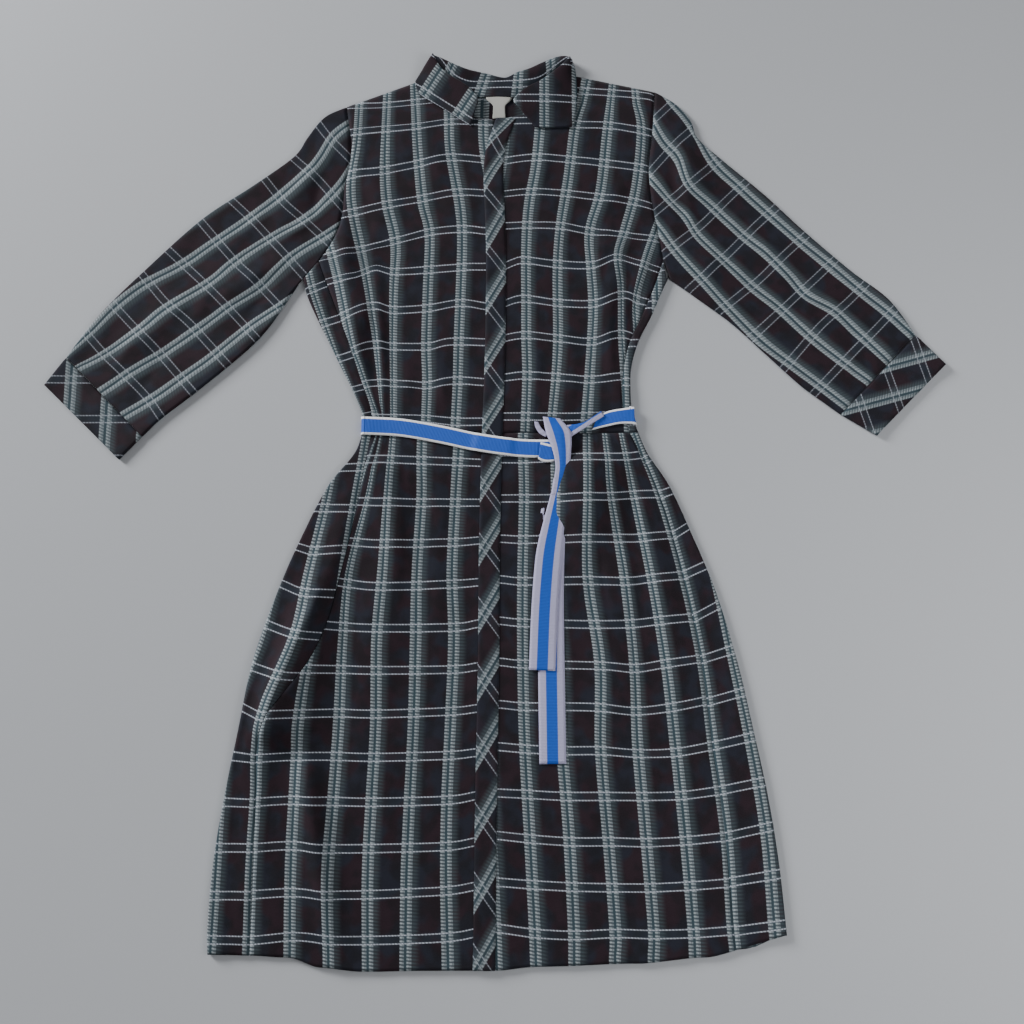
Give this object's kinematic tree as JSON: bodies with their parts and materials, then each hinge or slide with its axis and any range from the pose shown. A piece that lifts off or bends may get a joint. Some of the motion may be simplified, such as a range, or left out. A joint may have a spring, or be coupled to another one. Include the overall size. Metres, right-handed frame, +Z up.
{
  "type": "blouse dress laid flat",
  "caption": "Knee-length checked dress laid flat, with a shirt collar, three-quarter sleeves with bands, a front placket and a striped ribbon belt tied at the waist.",
  "frame": {"origin": "centre of the bounding box in plan, on the surface that the dress lies on", "axes": "+Y from the hem towards the collar, +X towards the right of the dress as laid, +Z up from the surface"},
  "size_m": [1.0386, 1.06, 0.0163],
  "materials": {
    "checked_cloth": "soft matt viscose-like cloth, near black with fine pale check lines",
    "bias_cloth": "the same cloth cut on the bias",
    "ribbon": "woven ribbon, blue with pale striped edges, slight sheen",
    "label": "blank woven label, off-white"
  },
  "bodies": {
    "root": {"skirt_back": "checked_cloth", "skirt_front_left": "checked_cloth", "skirt_front_right": "checked_cloth", "bodice_back": "checked_cloth", "bodice_front_left": "checked_cloth", "bodice_front_right": "checked_cloth", "sleeve_left": "checked_cloth", "sleeve_right": "checked_cloth", "cuff_left": "bias_cloth", "cuff_right": "bias_cloth", "placket": "bias_cloth", "collar_left": "checked_cloth", "collar_right": "checked_cloth", "collar_back": "checked_cloth", "neck_label": "label", "belt_left": "ribbon", "belt_right": "ribbon", "belt_back": "ribbon", "belt_knot": "ribbon", "belt_tail_lower": "ribbon", "belt_tail_upper": "ribbon"}
  },
  "joints": []
}
